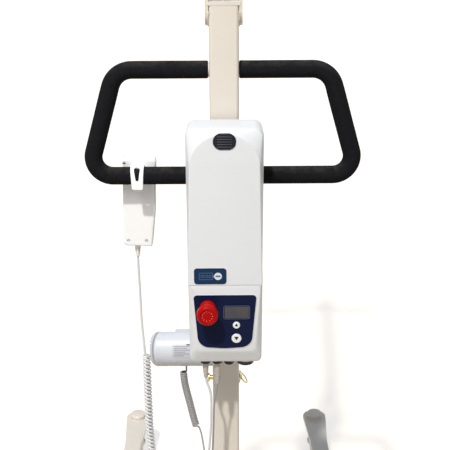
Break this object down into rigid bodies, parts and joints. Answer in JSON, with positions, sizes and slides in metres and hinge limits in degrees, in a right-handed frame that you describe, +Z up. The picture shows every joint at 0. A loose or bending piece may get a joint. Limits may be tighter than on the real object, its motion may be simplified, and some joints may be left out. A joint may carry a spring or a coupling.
{
  "type": "mobile patient lift",
  "caption": "Wheeled patient lift: spreading legs on casters, mast with push handle, battery and control unit, corded handset, actuator, lifting boom and sling spreader bar.",
  "frame": {"origin": "on the floor, at the middle of the base's length and width", "axes": "+Z up, +Y forwards along the legs towards the patient, +X to the right of whoever pushes the lift from behind"},
  "size_m": [0.608, 1.061, 1.8491],
  "materials": {
    "cream_paint": "semi-gloss powder coat in warm cream",
    "white_case": "satin moulded plastic, cool white",
    "black_foam": "closed-cell foam sleeve, matte black",
    "black_plastic": "matte black moulded plastic",
    "grey_plastic": "matte grey moulded plastic",
    "yellow_zinc": "yellow passivated zinc plate",
    "bright_steel": "bright zinc plate and anodised tube",
    "grey_tyre": "grey non-marking tread",
    "navy_film": "semi-gloss printed navy film",
    "display_glass": "glossy dark display window",
    "stop_red": "glossy red",
    "white_button": "smooth white",
    "white_cord": "smooth off-white cable jacket",
    "grey_cord": "smooth grey cable jacket"
  },
  "bodies": {
    "frame": {"base_beam": "cream_paint", "mast": "cream_paint", "mast_head": "cream_paint", "boom_pivot_bolt": "yellow_zinc", "actuator_bracket": "cream_paint", "clevis_pin": "yellow_zinc", "linch_pin": "yellow_zinc", "unit_bracket": "cream_paint", "control_box": "white_case", "control_panel": "navy_film", "display_window": "display_glass", "stop_collar": "stop_red", "connector_strip": "black_plastic", "charger_socket": "black_plastic", "blank_plug": "black_plastic", "handset_plug": "grey_plastic", "actuator_plug": "grey_plastic", "handle_left": "cream_paint", "handle_right": "cream_paint", "handle_foam_left": "black_foam", "handle_foam_right": "black_foam", "handset_back": "white_case", "handset_front": "white_case", "handset_hook": "white_case", "handset_strain_relief": "white_case", "handset_lead": "white_cord", "handset_curl": "white_cord", "handset_return": "white_cord", "actuator_coil": "grey_cord", "actuator_return": "grey_cord"},
    "left_leg": {"leg_left": "cream_paint"},
    "right_leg": {"leg_right": "cream_paint"},
    "leg_spread_pedal": {"spread_pedal": "black_plastic"},
    "rear_left_caster": {"rear_left_fork": "bright_steel"},
    "rear_right_caster": {"rear_right_fork": "bright_steel"},
    "front_left_caster": {"front_left_fork": "bright_steel"},
    "front_right_caster": {"front_right_fork": "bright_steel"},
    "rear_left_roller": {"rear_left_wheel": "grey_tyre"},
    "rear_right_roller": {"rear_right_wheel": "grey_tyre"},
    "front_left_roller": {"front_left_wheel": "grey_tyre"},
    "front_right_roller": {"front_right_wheel": "grey_tyre"},
    "rear_left_brake": {"rear_left_brake_pedal": "black_plastic"},
    "rear_right_brake": {"rear_right_brake_pedal": "black_plastic"},
    "lifting_boom": {"boom": "cream_paint"},
    "boom_hanger": {"hanger": "bright_steel"},
    "spreader": {"spreader_bar": "cream_paint"},
    "left_keeper": {"hook_keeper_left": "black_plastic"},
    "right_keeper": {"hook_keeper_right": "black_plastic"},
    "actuator": {"motor_housing": "white_case", "actuator_tube": "bright_steel"},
    "rod": {"actuator_rod": "bright_steel"},
    "pin_ring": {"linch_ring": "yellow_zinc"},
    "battery": {"battery_pack": "white_case"},
    "battery_catch": {"battery_grip": "black_plastic"},
    "stop_plunger": {"stop_stem": "stop_red"},
    "stop_mushroom": {"stop_head": "stop_red"},
    "panel_up": {"up_button": "white_button"},
    "panel_down": {"down_button": "white_button"},
    "handset_up": {"handset_up_key": "grey_plastic"},
    "handset_down": {"handset_down_key": "grey_plastic"}
  },
  "joints": [
    {"name": "boom_lift", "type": "hinge", "parent": "frame", "child": "lifting_boom", "pos_m": [0, -0.2835, 1.47], "axis": [1, 0, 0], "range_deg": [-60, 0]},
    {"name": "actuator_tilt", "type": "hinge", "parent": "frame", "child": "actuator", "pos_m": [0, -0.1965, 0.6305], "axis": [1, 0, 0], "range_deg": [0, 2.5]},
    {"name": "rod_extend", "type": "slide", "parent": "actuator", "child": "rod", "axis": [0, 0.1326, 0.9912], "range_m": [-0.21, 0]},
    {"name": "hanger_level", "type": "hinge", "parent": "lifting_boom", "child": "boom_hanger", "pos_m": [0, 0.4535, 1.8295], "axis": [1, 0, 0], "range_deg": [0, 60]},
    {"name": "spreader_swivel", "type": "hinge", "parent": "boom_hanger", "child": "spreader", "pos_m": [0, 0.4535, 1.69], "axis": [0, 0, 1], "continuous": true},
    {"name": "left_keeper_hinge", "type": "hinge", "parent": "spreader", "child": "left_keeper", "pos_m": [-0.1688, 0.4535, 1.6422], "axis": [0, -1, 0], "range_deg": [0, 15], "stiffness_Nm_per_rad": 0.02, "springref_deg": -28.65},
    {"name": "right_keeper_hinge", "type": "hinge", "parent": "spreader", "child": "right_keeper", "pos_m": [0.1688, 0.4535, 1.6422], "axis": [0, 1, 0], "range_deg": [0, 15], "stiffness_Nm_per_rad": 0.02, "springref_deg": -28.65},
    {"name": "left_leg_spread", "type": "hinge", "parent": "frame", "child": "left_leg", "pos_m": [-0.27, -0.2835, 0.11], "axis": [0, 0, 1], "range_deg": [0, 16]},
    {"name": "right_leg_spread", "type": "hinge", "parent": "frame", "child": "right_leg", "pos_m": [0.27, -0.2835, 0.11], "axis": [0, 0, 1], "range_deg": [-16, 0]},
    {"name": "spread_pedal_rock", "type": "hinge", "parent": "frame", "child": "leg_spread_pedal", "pos_m": [0, -0.354, 0.0803], "axis": [0, 1, 0], "range_deg": [-24, 0]},
    {"name": "rear_left_swivel", "type": "hinge", "parent": "frame", "child": "rear_left_caster", "pos_m": [-0.27, -0.4335, 0.1], "axis": [0, 0, 1], "continuous": true},
    {"name": "rear_right_swivel", "type": "hinge", "parent": "frame", "child": "rear_right_caster", "pos_m": [0.27, -0.4335, 0.1], "axis": [0, 0, 1], "continuous": true},
    {"name": "front_left_swivel", "type": "hinge", "parent": "left_leg", "child": "front_left_caster", "pos_m": [-0.27, 0.4965, 0.1], "axis": [0, 0, 1], "continuous": true},
    {"name": "front_right_swivel", "type": "hinge", "parent": "right_leg", "child": "front_right_caster", "pos_m": [0.27, 0.4965, 0.1], "axis": [0, 0, 1], "continuous": true},
    {"name": "rear_left_roll", "type": "hinge", "parent": "rear_left_caster", "child": "rear_left_roller", "pos_m": [-0.27, -0.4635, 0.04], "axis": [1, 0, 0], "continuous": true},
    {"name": "rear_right_roll", "type": "hinge", "parent": "rear_right_caster", "child": "rear_right_roller", "pos_m": [0.27, -0.4635, 0.04], "axis": [1, 0, 0], "continuous": true},
    {"name": "front_left_roll", "type": "hinge", "parent": "front_left_caster", "child": "front_left_roller", "pos_m": [-0.27, 0.4665, 0.04], "axis": [1, 0, 0], "continuous": true},
    {"name": "front_right_roll", "type": "hinge", "parent": "front_right_caster", "child": "front_right_roller", "pos_m": [0.27, 0.4665, 0.04], "axis": [1, 0, 0], "continuous": true},
    {"name": "rear_left_brake_press", "type": "hinge", "parent": "rear_left_caster", "child": "rear_left_brake", "pos_m": [-0.27, -0.4805, 0.0885], "axis": [1, 0, 0], "range_deg": [0, 15]},
    {"name": "rear_right_brake_press", "type": "hinge", "parent": "rear_right_caster", "child": "rear_right_brake", "pos_m": [0.27, -0.4805, 0.0885], "axis": [1, 0, 0], "range_deg": [0, 15]},
    {"name": "linch_ring_hinge", "type": "hinge", "parent": "frame", "child": "pin_ring", "pos_m": [0.028, -0.1965, 0.64], "axis": [0, -1, 0], "range_deg": [0, 90]},
    {"name": "battery_lift_off", "type": "slide", "parent": "frame", "child": "battery", "axis": [0, 0, 1], "range_m": [0, 0.07]},
    {"name": "battery_catch_press", "type": "slide", "parent": "battery", "child": "battery_catch", "axis": [0, 1, 0], "range_m": [0, 0.003], "stiffness_N_per_m": 800, "springref_m": -0.002},
    {"name": "stop_press", "type": "slide", "parent": "frame", "child": "stop_plunger", "axis": [0, 1, 0], "range_m": [0, 0.004]},
    {"name": "stop_twist", "type": "hinge", "parent": "stop_plunger", "child": "stop_mushroom", "pos_m": [-0.0312, -0.43, 0.885], "axis": [0, 1, 0], "range_deg": [0, 45]},
    {"name": "up_button_press", "type": "slide", "parent": "frame", "child": "panel_up", "axis": [0, 1, 0], "range_m": [0, 0.0012], "stiffness_N_per_m": 500, "springref_m": -0.001},
    {"name": "down_button_press", "type": "slide", "parent": "frame", "child": "panel_down", "axis": [0, 1, 0], "range_m": [0, 0.0012], "stiffness_N_per_m": 500, "springref_m": -0.001},
    {"name": "handset_up_press", "type": "slide", "parent": "frame", "child": "handset_up", "axis": [0, -1, 0], "range_m": [0, 0.001], "stiffness_N_per_m": 500, "springref_m": -0.001},
    {"name": "handset_down_press", "type": "slide", "parent": "frame", "child": "handset_down", "axis": [0, -1, 0], "range_m": [0, 0.001], "stiffness_N_per_m": 500, "springref_m": -0.001}
  ],
  "couplings": [
    {"joint": "actuator_tilt", "follows": "boom_lift", "ratio": -0.037},
    {"joint": "rod_extend", "follows": "boom_lift", "m_per_rad": 0.198},
    {"joint": "hanger_level", "follows": "boom_lift", "ratio": -1},
    {"joint": "right_leg_spread", "follows": "left_leg_spread", "ratio": -1},
    {"joint": "spread_pedal_rock", "follows": "left_leg_spread", "ratio": -1.5}
  ]
}
